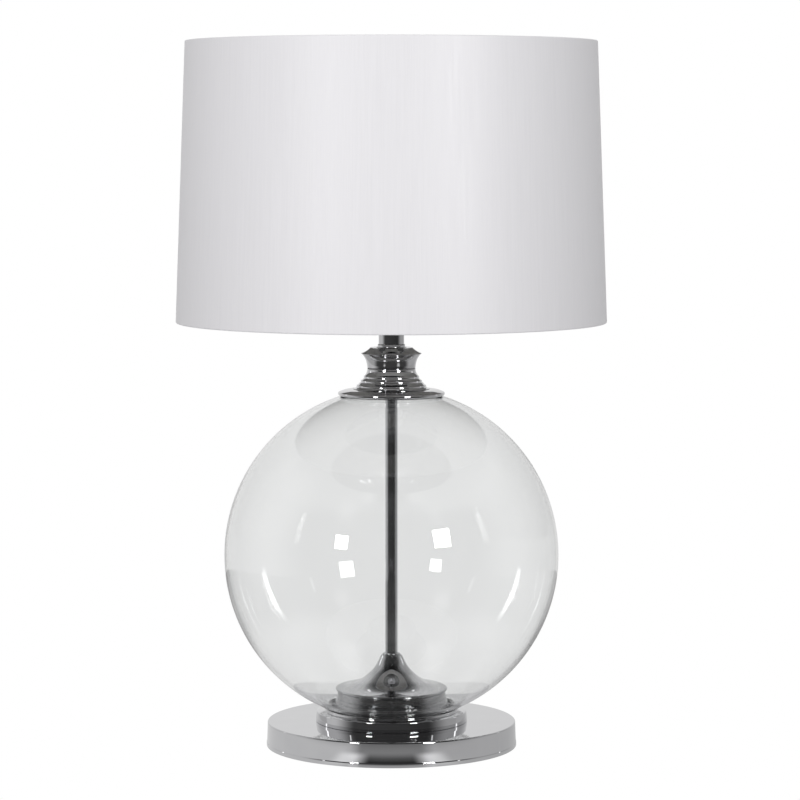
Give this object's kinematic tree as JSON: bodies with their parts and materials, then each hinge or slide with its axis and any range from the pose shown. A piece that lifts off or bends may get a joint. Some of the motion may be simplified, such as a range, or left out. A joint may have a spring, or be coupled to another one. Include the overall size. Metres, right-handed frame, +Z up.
{
  "type": "table lamp with shade",
  "caption": "Table lamp: clear glass globe on a round polished base, stepped metal cap and neck, push-bar lampholder, opal bulb and a slightly tapered white fabric drum shade on a ring fitter.",
  "frame": {"origin": "centre of the base's underside, on the surface the lamp stands on", "axes": "+Z up along the stem, -Y towards the front, +Y towards the cord inlet at the back"},
  "size_m": [0.4, 0.4, 0.6574],
  "materials": {
    "chrome": "mirror-polished plated metal",
    "cast_iron": "rough cast",
    "steel": "zinc plated",
    "nickel": "nickel-plated rolled shell",
    "solder": "dull solder",
    "brass": "bright stamped",
    "rubber": "matt moulded",
    "felt": "pressed felt",
    "clear_glass": "clear blown glass, polished",
    "shade_fabric": "white satin, faintly slubbed",
    "shade_lining": "white laminate sheet",
    "painted_wire": "white powder coat",
    "white_plastic": "moulded, satin gloss",
    "black_plastic": "moulded",
    "ceramic": "glazed porcelain",
    "opal": "opal diffuser"
  },
  "bodies": {
    "lamp": {"foot_felt": "felt", "base_cover": "steel", "base_pan": "chrome", "base_weight": "cast_iron", "bottom_washer": "steel", "bottom_nut": "steel", "cord_grommet": "rubber", "plinth": "chrome", "lower_gasket": "rubber", "glass_globe": "clear_glass", "seat_ring": "chrome", "stem_bell": "chrome", "bell_collar": "chrome", "stem_tube": "chrome", "threaded_rod": "steel", "upper_gasket": "rubber", "cap_flange": "chrome", "cap_washer": "steel", "cap_nut": "steel", "cap_vase": "chrome", "cap_crown": "chrome", "neck_collar": "chrome", "neck_tube": "chrome", "holder_cup": "white_plastic", "holder_nut": "steel", "holder_core": "ceramic", "screw_shell": "brass", "centre_contact": "brass", "terminal_screw_left": "brass", "terminal_screw_right": "brass", "holder_skirt": "white_plastic", "shade_seat_ring": "white_plastic", "switch_block": "black_plastic"},
    "push_bar": {"switch_bar": "white_plastic", "switch_button_right": "white_plastic", "switch_button_left": "white_plastic"},
    "bulb_tip": {"bulb_contact": "solder"},
    "bulb": {"bulb_insulator": "black_plastic", "bulb_cap": "nickel", "bulb_housing": "white_plastic", "bulb_dome": "opal"},
    "shade": {"shade_fabric": "shade_fabric", "shade_lining": "shade_lining", "bottom_wire": "painted_wire", "top_wire": "painted_wire", "fitter_ring": "painted_wire", "fitter_arm_1": "painted_wire", "fitter_arm_2": "painted_wire", "fitter_arm_3": "painted_wire"},
    "shade_ring": {"shade_ring": "white_plastic"}
  },
  "joints": [
    {"name": "shade_swivel", "type": "hinge", "parent": "lamp", "child": "shade", "pos_m": [0, 0, 0.452], "axis": [0, 0, 1], "continuous": true},
    {"name": "shade_ring_unscrew", "type": "slide", "parent": "lamp", "child": "shade_ring", "axis": [0, 0, 1], "range_m": [0, 0.01]},
    {"name": "bulb_travel", "type": "slide", "parent": "lamp", "child": "bulb_tip", "axis": [0, 0, 1], "range_m": [0, 0.01815]},
    {"name": "bulb_turn", "type": "hinge", "parent": "bulb_tip", "child": "bulb", "pos_m": [0, 0, 0.451], "axis": [0, 0, 1], "range_deg": [0, 1800]},
    {"name": "push_bar_slide", "type": "slide", "parent": "lamp", "child": "push_bar", "axis": [-1, 0, 0], "range_m": [0, 0.006]}
  ],
  "couplings": [
    {"joint": "bulb_travel", "follows": "bulb_turn", "m_per_rad": 0.00057773}
  ]
}
